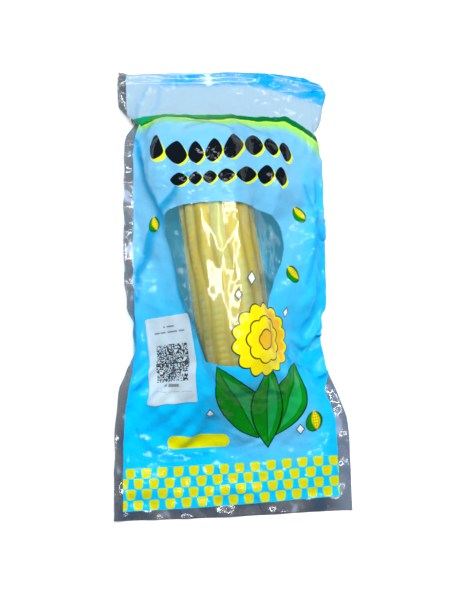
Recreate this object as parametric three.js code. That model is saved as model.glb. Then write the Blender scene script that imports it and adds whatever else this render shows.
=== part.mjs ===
// One sweet corn cob sealed in a flat film pouch, lying on its back with the printed side up.
// Millimetres. X runs across the pouch, Y towards its header and Z up.
// The origin is the middle of the underside, on the surface that the pouch lies on.
// The pouch starts as two flat sheets sealed round their edges. The cob grows between them while every
// stretch of film keeps its own length, so the film draws in, lifts and folds as real film does.
import * as THREE from "three";

// The flat film, measured across from the left edge and along from the bottom edge
const FILM = { width: 150, length: 310, cell: 5, gap: 1.0 };
const SEAL = { side: 7, bottom: 11, top: 10 };
const HEADER = 38; // the two films lie together this far down from the top edge
const STRETCH = 0.06; // how much wider the film has stretched beside the cob

// The cob, which is slimmer towards its tip
const COB = { radius: 24.2, length: 178, end: 26, x: -4.4, y: 13, lean: THREE.MathUtils.degToRad(7.4) };
const TIP = { from: 20, to: 89, slimmer: 0.1 };
const COB_CLEARANCE = 0.6;

// The side edges in plan: drawn in beside the cob, and pinched at the neck and the waist
const HALF_WIDTH = 75.3;
const HALF_LENGTH = 149.5;
const FLANK = { from: -97, full: -46, fade: 96, to: 130, left: 6.3, right: 12.8, rightHeader: 62 };
const LEFT_NECK = { y: 110, deep: 8, above: 9, below: 9 };
const LEFT_WAIST = { y: -42, deep: 8.5, above: 26, below: 14 };
const RIGHT_NECK = { y: 103, deep: 7, above: 14, below: 10 };
const RIGHT_WAIST = { y: -27, deep: 4.7, above: 9, below: 26 };

// Heights of the side edges: the left one floats beside the cob, the right one hangs from a shoulder
const LEFT_EDGE = { low: 4, lift: 14 };
const RIGHT_EDGE = { height: 1.2, from: -85, to: -45 };
const SHOULDER = { across: 135, height: 13, inside: 6, from: -25, full: 20, fade: 95, to: 120 };

// How far the film has slipped along the pouch: the right end of the header down, and the bottom edge askew
const SLIP = { from: 190, to: 272, side: 6.5, across: 105, corner: 11, bottomLeft: -2.3, bottomRight: 5.7 };

// How the film settles
const STEPS = { growing: 260, resting: 140, rounds: 10 };
const GROWN_BY = 0.7; // share of the growing steps after which the cob has its full size
const FIRST_SIZE = 0.05;
const FIRST_HEIGHT = { front: 3.5, back: 1 };
const WEIGHT = 0.03;
const PUFF = 0.004;
const STIFFNESS = 0.12;
const DAMPING = 0.92;
const PULL = { side: 0.15, height: 0.1, shoulder: 0.1, slip: 0.1, end: 0.03, header: 0.15 };
const PRESSED = 0.8; // film closer to the surface than this lies on it

// The paper label stuck on the front: its middle on the flat film, and its size
const LABEL = { across: 33.2, along: 102, width: 34.5, length: 56, columns: 7, rows: 12 };
LABEL.turn = THREE.MathUtils.degToRad(9);
LABEL.thick = 0.4;
LABEL.gap = 0.5;

const COLUMNS = FILM.width / FILM.cell;
const ROWS = FILM.length / FILM.cell;
const { lerp, smoothstep } = THREE.MathUtils;

function besideCob(y) {
  return smoothstep(y, FLANK.from, FLANK.full) * (1 - smoothstep(y, FLANK.fade, FLANK.to));
}

// How far an edge is drawn in by a pinch, which may reach further on one side than on the other
function pinched(y, pinch) {
  const reach = y > pinch.y ? pinch.above : pinch.below;
  return pinch.deep * Math.exp(-(((y - pinch.y) / reach) ** 2));
}

function leftEdge(y) {
  return -HALF_WIDTH + FLANK.left * besideCob(y) + pinched(y, LEFT_NECK) + pinched(y, LEFT_WAIST);
}

function rightEdge(y) {
  const flank = FLANK.right * Math.max(besideCob(y), smoothstep(y, FLANK.rightHeader, FLANK.fade));
  return HALF_WIDTH - flank - pinched(y, RIGHT_NECK) - pinched(y, RIGHT_WAIST);
}

// Where a row of the flat film lies along the pouch
function rowPlace(j) {
  return ((j / ROWS) * 2 - 1) * HALF_LENGTH;
}

// One flat sheet, as rows of points from the bottom edge to the header
function flatSheet(height) {
  return Array.from({ length: ROWS + 1 }, (_, j) =>
    Array.from({ length: COLUMNS + 1 }, (_, i) => {
      const at = new THREE.Vector3(i * FILM.cell - HALF_WIDTH, rowPlace(j), height);
      return { at, before: at.clone() };
    }),
  );
}

// Every pair of neighbours in a sheet, straight and diagonal, with the length of film between them
function filmLinks(sheet) {
  const links = [];
  for (let j = 0; j <= ROWS; j++) {
    const wide = FILM.cell * (1 + STRETCH * besideCob(j * FILM.cell - FILM.length / 2));
    const slant = Math.hypot(wide, FILM.cell);
    for (let i = 0; i <= COLUMNS; i++) {
      if (i < COLUMNS) links.push([sheet[j][i].at, sheet[j][i + 1].at, wide]);
      if (j === ROWS) continue;
      links.push([sheet[j][i].at, sheet[j + 1][i].at, FILM.cell]);
      if (i < COLUMNS) links.push([sheet[j][i].at, sheet[j + 1][i + 1].at, slant]);
      if (i > 0) links.push([sheet[j][i].at, sheet[j + 1][i - 1].at, slant]);
    }
  }
  return links;
}

// Every three points in a line, whose middle one the film's stiffness keeps between the others.
// The film is creased along its shoulder, where it bends freely.
function filmBends(sheet) {
  const bends = [];
  for (let j = 0; j <= ROWS; j++) {
    for (let i = 0; i <= COLUMNS; i++) {
      const creased = (i - 1) * FILM.cell === SHOULDER.across;
      if (i > 1 && !creased) bends.push([sheet[j][i - 2].at, sheet[j][i - 1].at, sheet[j][i].at]);
      if (j > 1) bends.push([sheet[j - 2][i].at, sheet[j - 1][i].at, sheet[j][i].at]);
    }
  }
  return bends;
}

const scratch = new THREE.Vector3();

function keepLength([a, b, length]) {
  scratch.subVectors(b, a);
  scratch.multiplyScalar(0.5 - (0.5 * length) / scratch.length());
  a.add(scratch);
  b.sub(scratch);
}

function straighten([a, b, c]) {
  scratch.addVectors(a, c).multiplyScalar(0.5).sub(b).multiplyScalar(STIFFNESS);
  b.add(scratch);
  scratch.multiplyScalar(0.5);
  a.sub(scratch);
  c.sub(scratch);
}

// Moves a point out of the cob, a round bar with blunt ends
function clearCob(point, grown) {
  const radius = COB.radius * grown;
  const dx = point.x - COB.x;
  const dy = point.y - COB.y;
  const dz = point.z - radius - COB_CLEARANCE;
  const along = dy * Math.cos(COB.lean) - dx * Math.sin(COB.lean);
  const aside = dx * Math.cos(COB.lean) + dy * Math.sin(COB.lean);
  const straight = COB.length / 2 - COB.end;
  const pastEnd = Math.sign(along) * Math.max(Math.abs(along) - straight, 0) * (radius / COB.end);
  const size = radius * (1 - TIP.slimmer * smoothstep(-along, TIP.from, TIP.to)) + COB_CLEARANCE;
  const distance = Math.hypot(pastEnd, aside, dz);
  if (distance >= size) return;
  const out = (size - distance) / distance;
  point.x += out * (aside * Math.cos(COB.lean) - pastEnd * Math.sin(COB.lean));
  point.y += out * (aside * Math.sin(COB.lean) + pastEnd * Math.cos(COB.lean));
  point.z += out * dz;
}

// Draws the side edges to their places in plan and height, and the ends to theirs
function drawEdges(sheet, grown) {
  for (const [j, row] of sheet.entries()) {
    const left = row[0].at;
    left.x += PULL.side * grown * (leftEdge(left.y) - left.x);
    left.z += PULL.height * grown * (LEFT_EDGE.low + LEFT_EDGE.lift * besideCob(left.y) - left.z);
    const right = row[COLUMNS].at;
    const hanging = smoothstep(right.y, RIGHT_EDGE.from, RIGHT_EDGE.to);
    right.x += PULL.side * grown * (rightEdge(right.y) - right.x);
    right.z += PULL.height * grown * hanging * (RIGHT_EDGE.height - right.z);
    const slipped = smoothstep(j * FILM.cell, SLIP.from, SLIP.to);
    right.y += PULL.slip * grown * slipped * (rowPlace(j) - SLIP.side - right.y);
  }
  for (const [i, { at }] of sheet[0].entries()) {
    const slipped = lerp(SLIP.bottomLeft, SLIP.bottomRight, i / COLUMNS);
    at.y += PULL.end * (slipped - HALF_LENGTH - at.y);
  }
  for (const [i, { at }] of sheet[ROWS].entries()) {
    const turned = Math.max(0, (i * FILM.cell - SLIP.across) / (FILM.width - SLIP.across));
    at.y += PULL.end * (HALF_LENGTH - SLIP.corner * turned * grown - at.y);
  }
}

// Holds up the shoulder of the front, from which its right side hangs
function raiseShoulder(front, grown) {
  for (const row of front) {
    const { at } = row[SHOULDER.across / FILM.cell];
    const from = smoothstep(at.y, SHOULDER.from, SHOULDER.full);
    const raised = PULL.shoulder * grown * from * (1 - smoothstep(at.y, SHOULDER.fade, SHOULDER.to));
    at.x += raised * (rightEdge(at.y) - SHOULDER.inside - at.x);
    at.z += raised * (SHOULDER.height - at.z);
  }
}

// Keeps the front above the back, and joins them in the seals and loosely in the header
function joinFilms(front, back) {
  const middle = new THREE.Vector3();
  for (let j = 0; j <= ROWS; j++) {
    const along = j * FILM.cell;
    const endSeal = along < SEAL.bottom || along > FILM.length - SEAL.top;
    for (let i = 0; i <= COLUMNS; i++) {
      const a = front[j][i].at;
      const b = back[j][i].at;
      const across = i * FILM.cell;
      const sideSeal = across < SEAL.side || across > FILM.width - SEAL.side;
      middle.addVectors(a, b).multiplyScalar(0.5);
      let together = along > FILM.length - HEADER ? PULL.header : 0;
      if (endSeal || sideSeal) together = 1;
      a.lerp(middle, together);
      b.lerp(middle, together);
      const short = Math.max(0, FILM.gap / 2 - (a.z - b.z)) / 2;
      if (together < 1) a.z += short;
      if (together < 1) b.z -= short;
    }
  }
}

// Adds to a sheet's motion: its own weight, and the air that pushes it outwards
function pushFilm(sheet, outward) {
  const across = new THREE.Vector3();
  const along = new THREE.Vector3();
  for (let j = 1; j < ROWS; j++) {
    for (let i = 1; i < COLUMNS; i++) {
      across.subVectors(sheet[j][i + 1].at, sheet[j][i - 1].at);
      along.subVectors(sheet[j + 1][i].at, sheet[j - 1][i].at);
      sheet[j][i].push = across.cross(along).setLength(PUFF * outward).clone();
    }
  }
  for (const point of sheet.flat()) {
    const motion = point.at.clone().sub(point.before).multiplyScalar(DAMPING);
    motion.z -= WEIGHT;
    if (point.push) motion.add(point.push);
    point.before.copy(point.at);
    point.at.add(motion);
  }
}

// The two sheets after they have settled round the cob
function settledFilms() {
  const front = flatSheet(FIRST_HEIGHT.front);
  const back = flatSheet(FIRST_HEIGHT.back);
  const points = [...front, ...back].flat();
  const links = [...filmLinks(front), ...filmLinks(back)];
  const bends = [...filmBends(front), ...filmBends(back)];
  for (let step = 0; step < STEPS.growing + STEPS.resting; step++) {
    const grown = lerp(FIRST_SIZE, 1, Math.min(1, step / (GROWN_BY * STEPS.growing)));
    pushFilm(front, 1);
    pushFilm(back, -1);
    for (let round = 0; round < STEPS.rounds; round++) {
      links.forEach(keepLength);
      bends.forEach(straighten);
      drawEdges(front, grown);
      drawEdges(back, grown);
      raiseShoulder(front, grown);
      for (const { at } of points) clearCob(at, grown);
      joinFilms(front, back);
      for (const { at } of points) at.z = Math.max(0, at.z);
    }
  }
  return [front, back].map((sheet) => sheet.map((row) => row.map(({ at }) => at)));
}

// Face normals of a grid of points, from the neighbours of each
function gridNormals(grid) {
  const last = { j: grid.length - 1, i: grid[0].length - 1 };
  return grid.map((row, j) =>
    row.map((_, i) => {
      const across = row[Math.min(i + 1, last.i)].clone().sub(row[Math.max(i - 1, 0)]);
      const along = grid[Math.min(j + 1, last.j)][i].clone().sub(grid[Math.max(j - 1, 0)][i]);
      return across.cross(along).normalize();
    }),
  );
}

// Gives the films their thickness where they lie together, and lays the pouch flat and centred
function thickened([front, back]) {
  const middle = front.map((row, j) => row.map((a, i) => a.clone().add(back[j][i]).multiplyScalar(0.5)));
  const normals = gridNormals(middle);
  for (let j = 0; j <= ROWS; j++) {
    for (let i = 0; i <= COLUMNS; i++) {
      const a = front[j][i];
      const b = back[j][i];
      if (a.distanceTo(b) >= FILM.gap) continue;
      a.copy(middle[j][i]).addScaledVector(normals[j][i], FILM.gap / 2);
      b.copy(middle[j][i]).addScaledVector(normals[j][i], -FILM.gap / 2);
    }
  }
  const points = [...front, ...back].flat();
  const box = new THREE.Box3().setFromPoints(points);
  const centre = box.getCenter(new THREE.Vector3());
  for (const point of points) point.sub(new THREE.Vector3(centre.x, centre.y, box.min.z));
  for (const point of points) if (point.z < PRESSED) point.z = 0;
  for (const [j, row] of front.entries()) {
    for (const [i, point] of row.entries()) point.z = Math.max(point.z, back[j][i].z + FILM.gap);
  }
  return [front, back];
}

// The closed skin between a front and a back grid, joined round the edge
function closedSkin(front, back) {
  const rows = front.length;
  const columns = front[0].length;
  const positions = [...front.flat(), ...back.flat()].flatMap((p) => [p.x, p.y, p.z]);
  const top = (i, j) => j * columns + i;
  const under = (i, j) => rows * columns + top(i, j);
  const faces = [];
  const quad = (a, b, c, d) => faces.push(a, b, c, a, c, d);
  for (let j = 0; j < rows - 1; j++) {
    for (let i = 0; i < columns - 1; i++) {
      quad(top(i, j), top(i + 1, j), top(i + 1, j + 1), top(i, j + 1));
      quad(under(i, j), under(i, j + 1), under(i + 1, j + 1), under(i + 1, j));
    }
  }
  for (let i = 0; i < columns - 1; i++) {
    quad(under(i, 0), under(i + 1, 0), top(i + 1, 0), top(i, 0));
    quad(top(i, rows - 1), top(i + 1, rows - 1), under(i + 1, rows - 1), under(i, rows - 1));
  }
  for (let j = 0; j < rows - 1; j++) {
    quad(top(0, j), top(0, j + 1), under(0, j + 1), under(0, j));
    quad(under(columns - 1, j), under(columns - 1, j + 1), top(columns - 1, j + 1), top(columns - 1, j));
  }
  const geometry = new THREE.BufferGeometry();
  geometry.setAttribute("position", new THREE.Float32BufferAttribute(positions, 3));
  geometry.setIndex(faces);
  geometry.computeVertexNormals();
  return geometry;
}

const [front, back] = thickened(settledFilms());

function pouch() {
  const film = new THREE.MeshStandardMaterial({ color: 0x1fb4ee, roughness: 0.15, metalness: 0 });
  const mesh = new THREE.Mesh(closedSkin(front, back), film);
  mesh.name = "pouch";
  return mesh;
}

// A value of a grid between its points, at a place on the flat film
function onGrid(grid, across, along) {
  const i = Math.floor(across / FILM.cell);
  const j = Math.floor(along / FILM.cell);
  const s = across / FILM.cell - i;
  const low = grid[j][i].clone().lerp(grid[j][i + 1], s);
  const high = grid[j + 1][i].clone().lerp(grid[j + 1][i + 1], s);
  return low.lerp(high, along / FILM.cell - j);
}

// The label follows the front film a little above it
function label() {
  const normals = gridNormals(front);
  const cos = Math.cos(LABEL.turn);
  const sin = Math.sin(LABEL.turn);
  const sheet = (lift) =>
    Array.from({ length: LABEL.rows + 1 }, (_, j) =>
      Array.from({ length: LABEL.columns + 1 }, (_, i) => {
        const a = (i / LABEL.columns - 0.5) * LABEL.width;
        const b = (j / LABEL.rows - 0.5) * LABEL.length;
        const across = LABEL.across + a * cos - b * sin;
        const along = LABEL.along + a * sin + b * cos;
        return onGrid(front, across, along).addScaledVector(onGrid(normals, across, along), lift);
      }),
    );
  const paper = new THREE.MeshStandardMaterial({ color: 0xe6eef2, roughness: 0.55, metalness: 0 });
  const mesh = new THREE.Mesh(closedSkin(sheet(LABEL.gap + LABEL.thick), sheet(LABEL.gap)), paper);
  mesh.name = "label";
  return mesh;
}

const pack = new THREE.Group();
pack.add(pouch(), label());

export default pack;
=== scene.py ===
# A flat film pouch with one sweet corn cob in it, lying on its back with its printed side up.
# The film is settled round the cob here, in millimetres: X runs across the pouch, Y towards its
# header and Z up. A place on the flat film is u, across from its left edge, and v, along from its
# bottom edge. The print is drawn by the material's nodes, from those flat places.

import math

import bpy
import numpy as np
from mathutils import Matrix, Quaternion, Vector


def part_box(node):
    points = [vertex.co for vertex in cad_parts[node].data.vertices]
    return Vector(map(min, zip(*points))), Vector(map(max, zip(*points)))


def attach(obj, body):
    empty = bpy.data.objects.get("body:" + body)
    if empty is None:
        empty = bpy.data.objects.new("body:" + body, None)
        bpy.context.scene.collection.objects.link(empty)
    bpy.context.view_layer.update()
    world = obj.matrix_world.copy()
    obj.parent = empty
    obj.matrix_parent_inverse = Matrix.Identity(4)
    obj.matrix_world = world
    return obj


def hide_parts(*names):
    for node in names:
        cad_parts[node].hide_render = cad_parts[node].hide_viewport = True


MM = 0.001
ANY_SIZE = 1e-9

# The flat film and its seals
WIDTH, LENGTH = 150.0, 310.0
SIDE_SEAL, BOTTOM_SEAL, TOP_SEAL = 7.0, 11.0, 10.0
HEADER = 38.0
STRETCH = 0.06
SEALED = 0.3
FILM_GAP = 0.35

# The cob, a round bar with blunt ends, slimmer towards its tip
COB_RADIUS, COB_LENGTH, COB_END = 24.2, 178.0, 26.0
COB_X, COB_Y, COB_LEAN = -4.4, 13.0, math.radians(7.4)
COB_GAP = 0.4
TIP_FROM, TIP_SLIMMER = 20.0, 0.10
KERNEL_ROWS = 14
ROW_PITCH = 2 * math.pi * COB_RADIUS / KERNEL_ROWS

# The side edges in plan, and how high they lie
HALF_WIDTH, HALF_LENGTH = 75.3, 149.5
LEFT_FLANK, RIGHT_FLANK = 6.3, 12.8
LEFT_PINCHES = ((110, 8.0, 9, 9), (-42, 8.5, 26, 14))
RIGHT_PINCHES = ((103, 7.0, 14, 10), (-27, 4.7, 9, 26))
LEFT_LOW, LEFT_LIFT = 4.0, 14.0
RIGHT_HEIGHT = 1.5
SHOULDER_U, SHOULDER_HEIGHT, SHOULDER_INSIDE = 136.0, 13.0, 6.0

# How far the edges slip along Y, and how strongly each round of settling draws them to their places
RIGHT_SLIP, BOTTOM_SLIP, BOTTOM_TURN = 6.5, -2.3, 8.0
TOP_TURN, TURNED_FROM = 11.0, 105.0
FIRM_PULL, PULL, SOFT_PULL, END_PULL = 0.2, 0.15, 0.1, 0.03

# How the film settles on each grid: cell size, steps, rounds in a step and stiffness
COARSE, MIDDLE, FINE = 5.0, 2.5, 1.25
GROWING, RESTING = (260, 10, 0.12), (120, 12, 0.12)
MIDDLE_STEPS, FINE_STEPS = (150, 12, 0.08), (60, 12, 0.05)
WEIGHT, PUFF, DAMPING, SHAKE = 0.03, 0.004, 0.92, 0.05
CAD_LENGTH, START_FRONT, START_BACK, FLOOR_GAP = 300.0, 3.5, 1.0, 0.2
LOOSE_SHARE, LOOSE_GAP = 0.15, 0.5

# The camera of the photograph, which is 450 pixels wide and 600 tall
CAMERA_DISTANCE, CAMERA_ELEVATION, CAMERA_ROLL = 0.650, 80.4, -0.61
CAMERA_TARGET = (-0.0037, -0.0082, 0.0)
FOCAL_PIXELS, PICTURE_TALL, SENSOR = 990, 600, 36.0

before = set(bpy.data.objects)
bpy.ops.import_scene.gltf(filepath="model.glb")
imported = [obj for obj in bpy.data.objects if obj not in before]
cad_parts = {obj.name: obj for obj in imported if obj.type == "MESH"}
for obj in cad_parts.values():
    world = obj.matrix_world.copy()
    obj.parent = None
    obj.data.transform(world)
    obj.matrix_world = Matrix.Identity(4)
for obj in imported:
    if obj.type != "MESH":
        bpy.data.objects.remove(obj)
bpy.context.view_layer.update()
pouch_low, pouch_high = (np.array(corner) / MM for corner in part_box("pouch"))


# Small helpers


def smooth(x, low, high):
    """0 at low and 1 at high, with a soft start and end."""
    t = np.clip((x - low) / (high - low), 0, 1)
    return t * t * (3 - 2 * t)


def plateau(x, from_low, from_high, to_low, to_high):
    """1 between two places, with a soft rise before it and a soft fall after it."""
    return smooth(x, from_low, from_high) * (1 - smooth(x, to_low, to_high))


def hump(x, reach):
    return np.exp(-((x / reach) ** 2))


def lopsided(x, below, above):
    """A hump that may reach further on one side than on the other."""
    return np.exp(-((x / np.where(x > 0, above, below)) ** 2))


def turned(x, y, angle):
    """A place, as seen from axes that are turned by an angle."""
    cos, sin = math.cos(angle), math.sin(angle)
    return x * cos + y * sin, y * cos - x * sin


def srgb(red, green, blue):
    """A colour seen on a screen, as the light that a material sends back."""
    values = np.array((red, green, blue)) / 255
    linear = np.where(values <= 0.04045, values / 12.92, ((values + 0.055) / 1.055) ** 2.4)
    return (*linear.tolist(), 1.0)


def grid_normals(points):
    """The normal at each point of a grid of points."""
    normals = np.cross(np.gradient(points, axis=1), np.gradient(points, axis=0))
    return normals / (np.linalg.norm(normals, axis=-1, keepdims=True) + ANY_SIZE)


def on_grid(values, i, j):
    """A grid's values at places between its points."""
    low_i = np.clip(np.floor(i).astype(int), 0, values.shape[1] - 2)
    low_j = np.clip(np.floor(j).astype(int), 0, values.shape[0] - 2)
    s = (i - low_i)[..., None]
    t = (j - low_j)[..., None]
    low = values[low_j, low_i] * (1 - s) + values[low_j, low_i + 1] * s
    high = values[low_j + 1, low_i] * (1 - s) + values[low_j + 1, low_i + 1] * s
    return low * (1 - t) + high * t


# The film's settling


def beside_cob(y):
    return plateau(y, -97, -46, 96, 130)


def pinched(y, pinches):
    return sum(deep * lopsided(y - at, below, above) for at, deep, above, below in pinches)


def left_edge(y):
    return -HALF_WIDTH + LEFT_FLANK * beside_cob(y) + pinched(y, LEFT_PINCHES)


def right_edge(y):
    flank = RIGHT_FLANK * np.maximum(beside_cob(y), smooth(y, 62, 96))
    return HALF_WIDTH - flank - pinched(y, RIGHT_PINCHES)


def clear_cob(points, grown=1.0, gap=COB_GAP):
    """Moves points out of the cob."""
    radius = COB_RADIUS * grown
    aside, along = turned(points[..., 0] - COB_X, points[..., 1] - COB_Y, COB_LEAN)
    dz = points[..., 2] - (radius + COB_GAP)
    straight = COB_LENGTH / 2 - COB_END
    past = np.sign(along) * np.maximum(np.abs(along) - straight, 0) * (radius / COB_END)
    size = radius * (1 - TIP_SLIMMER * smooth(-along, TIP_FROM, COB_LENGTH / 2)) + gap
    distance = np.sqrt(past * past + aside * aside + dz * dz) + ANY_SIZE
    out = np.maximum(size - distance, 0) / distance
    x, y = turned(aside, past, -COB_LEAN)
    points[..., 0] += out * x
    points[..., 1] += out * y
    points[..., 2] += out * dz


def neighbours(points, across, along):
    """The two ends of every stretch of film in one direction, in two sets that share no point."""
    sets = []
    for start in (0, 1):
        if along == 0:
            end = start + (points.shape[2] - 1 - start) // 2 * 2
            low, high = points[:, :, start:end:2], points[:, :, start + 1 : end + 1 : 2]
        else:
            end = start + (points.shape[1] - start) // 2 * 2
            low, high = points[:, start:end:2], points[:, start + 1 : end + 1 : 2]
        if across > 0 and along:
            low, high = low[:, :, :-1], high[:, :, 1:]
        if across < 0:
            low, high = low[:, :, 1:], high[:, :, :-1]
        sets.append((low, high))
    return sets


def keep_length(low, high, rest):
    apart = high - low
    length = np.sqrt(np.einsum("...k,...k->...", apart, apart))[..., None]
    apart *= 0.5 - 0.5 * rest / length
    low += apart
    high -= apart


class Film:
    """The front and the back as two equal grids of points, flat or from cells twice as large."""

    def __init__(self, cell, coarse=None):
        self.cell = cell
        columns = int(round(WIDTH / cell))
        rows = int(round(LENGTH / cell))
        self.u, self.v = np.meshgrid(np.arange(columns + 1) * cell, np.arange(rows + 1) * cell)
        side = (self.u < SIDE_SEAL) | (self.u > WIDTH - SIDE_SEAL)
        self.seal = side | (self.v < BOTTOM_SEAL) | (self.v > LENGTH - TOP_SEAL)
        self.header = (self.v > LENGTH - HEADER) & ~self.seal
        y = self.v - LENGTH / 2
        self.wide = cell * (1 + STRETCH * beside_cob(y)[:, :-1])
        fold = (np.abs(self.u - SHOULDER_U) < 0.6 * cell) & (y > -25) & (y < 125)
        self.bends = np.where(fold, 0.0, 1.0)[None, :, 1:-1, None]
        if coarse is None:
            self.points = np.zeros((2, *self.u.shape, 3), np.float32)
            self.points[..., 0] = self.u - WIDTH / 2
            self.points[..., 1] = (self.v - LENGTH / 2) * (CAD_LENGTH / LENGTH)
            self.points[0, ..., 2] = START_FRONT
            self.points[1, ..., 2] = START_BACK
        else:
            self.points = doubled(doubled(coarse.points, 1), 2)
        self.motion = np.zeros_like(self.points)

    def links(self):
        wide = self.wide[None, :, :, None].astype(np.float32)
        slant = np.hypot(wide, self.cell)
        found = []
        for start, (low, high) in enumerate(neighbours(self.points, 1, 0)):
            found.append((low, high, wide[:, :, start : start + 2 * low.shape[2] : 2]))
        for low, high in neighbours(self.points, 0, 1):
            found.append((low, high, self.cell))
        for across in (1, -1):
            for start, (low, high) in enumerate(neighbours(self.points, across, 1)):
                found.append((low, high, slant[:, start : start + 2 * low.shape[1] : 2]))
        return found

    def blow(self):
        """The air inside pushes each film outwards."""
        across = self.points[:, 1:-1, 2:] - self.points[:, 1:-1, :-2]
        along = self.points[:, 2:, 1:-1] - self.points[:, :-2, 1:-1]
        normals = np.cross(across, along)
        normals /= np.linalg.norm(normals, axis=-1, keepdims=True) + ANY_SIZE
        self.motion[0, 1:-1, 1:-1] += PUFF * normals[0]
        self.motion[1, 1:-1, 1:-1] -= PUFF * normals[1]

    def straighten(self, stiffness):
        """Draws each point towards the middle of its two neighbours, and them away, both ways."""
        p = self.points
        across = (p[:, :, :-2], p[:, :, 1:-1], p[:, :, 2:], self.bends)
        for low, middle, high, bends in (across, (p[:, :-2], p[:, 1:-1], p[:, 2:], 1.0)):
            off = 0.5 * (low + high) - middle
            off *= stiffness * bends
            middle += off
            low -= 0.5 * off
            high -= 0.5 * off

    def draw_edges(self, grown):
        """Draws the side edges, the shoulder and the ends to their places."""
        p = self.points
        y = p[0, :, 0, 1]
        p[:, :, 0, 0] += PULL * grown * (left_edge(y) - p[0, :, 0, 0])
        p[:, :, 0, 2] += SOFT_PULL * grown * (LEFT_LOW + LEFT_LIFT * beside_cob(y) - p[0, :, 0, 2])
        y = p[0, :, -1, 1]
        hanging = smooth(y, -85, -45)
        p[:, :, -1, 0] += PULL * grown * (right_edge(y) - p[0, :, -1, 0])
        p[:, :, -1, 2] += FIRM_PULL * grown * hanging * (RIGHT_HEIGHT - p[0, :, -1, 2])
        k = int(round(SHOULDER_U / self.cell))
        y = p[0, :, k, 1]
        raised = SOFT_PULL * grown * plateau(y, -25, 20, 95, 120)
        p[0, :, k, 2] += raised * (SHOULDER_HEIGHT - p[0, :, k, 2])
        p[0, :, k, 0] += raised * (right_edge(y) - SHOULDER_INSIDE - p[0, :, k, 0])
        place = (self.v[:, -1] / LENGTH * 2 - 1) * HALF_LENGTH
        slipped = SOFT_PULL * grown * smooth(self.v[:, -1], 190, 272)
        p[:, :, -1, 1] += slipped * (place - RIGHT_SLIP - p[:, :, -1, 1])
        askew = BOTTOM_SLIP + BOTTOM_TURN * self.u[0] / WIDTH
        p[:, 0, :, 1] += END_PULL * (askew - HALF_LENGTH - p[:, 0, :, 1])
        share = np.maximum(0, self.u[-1] - TURNED_FROM) / (WIDTH - TURNED_FROM)
        p[:, -1, :, 1] += END_PULL * (HALF_LENGTH - TOP_TURN * grown * share - p[:, -1, :, 1])

    def join(self):
        """Keeps the front above the back, and joins them in the seals and loosely in the header."""
        front, back = self.points
        short = np.maximum(FILM_GAP - (front[..., 2] - back[..., 2]), 0) * 0.5
        front[..., 2] += short
        back[..., 2] -= short
        middle = 0.5 * (front + back)
        front[self.seal] = middle[self.seal] + (0, 0, SEALED / 2)
        back[self.seal] = middle[self.seal] - (0, 0, SEALED / 2)
        loose = middle[self.header]
        front[self.header] += LOOSE_SHARE * (loose + (0, 0, LOOSE_GAP) - front[self.header])
        back[self.header] += LOOSE_SHARE * (loose - (0, 0, LOOSE_GAP) - back[self.header])

    def settle(self, steps, rounds, stiffness, first_size=1.0, shaken_by=None):
        links = self.links()
        for k in range(steps):
            grown = first_size + (1 - first_size) * min(1.0, (k + 1) / (0.7 * steps))
            self.motion *= DAMPING
            self.motion[..., 2] -= WEIGHT
            self.blow()
            before = self.points.copy()
            self.points += self.motion
            if shaken_by is not None and k < steps // 2:
                self.points[..., 2] += shaken_by.normal(0, SHAKE, self.points.shape[:3])
            for _ in range(rounds):
                for low, high, rest in links:
                    keep_length(low, high, rest)
                self.straighten(stiffness)
                self.draw_edges(grown)
                clear_cob(self.points, grown)
                self.join()
                np.maximum(self.points[..., 2], FLOOR_GAP, out=self.points[..., 2])
            self.motion[...] = self.points - before


def doubled(values, axis):
    """A row of points with one more between each two, on a smooth curve through the old ones."""
    values = np.moveaxis(values, axis, 0)
    out = np.empty((2 * len(values) - 1, *values.shape[1:]), np.float32)
    out[::2] = values
    between = 0.5 * (values[:-1] + values[1:])
    between[1:-1] = (9 * (values[1:-2] + values[2:-1]) - values[:-3] - values[3:]) / 16
    out[1::2] = between
    return np.moveaxis(out, 0, axis)


def settled_film():
    coarse = Film(COARSE)
    coarse.settle(*GROWING, first_size=0.05, shaken_by=np.random.default_rng(3))
    coarse.settle(*RESTING)
    middle = Film(MIDDLE, coarse)
    middle.settle(*MIDDLE_STEPS, shaken_by=np.random.default_rng(5))
    fine = Film(FINE, middle)
    fine.settle(*FINE_STEPS)
    return fine


# Creases and crumples, as heights of the film over its settled shape

CREASE_ROUND = 0.8
ROW_HEIGHT = 0.32
CORNER, CORNER_PULL = 24.0, 7.5
IRON_ROUNDS, IRON_GAP, FINAL_GAP, INSIDE_GAP = 500, 1.5, 0.3, 0.9

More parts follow.
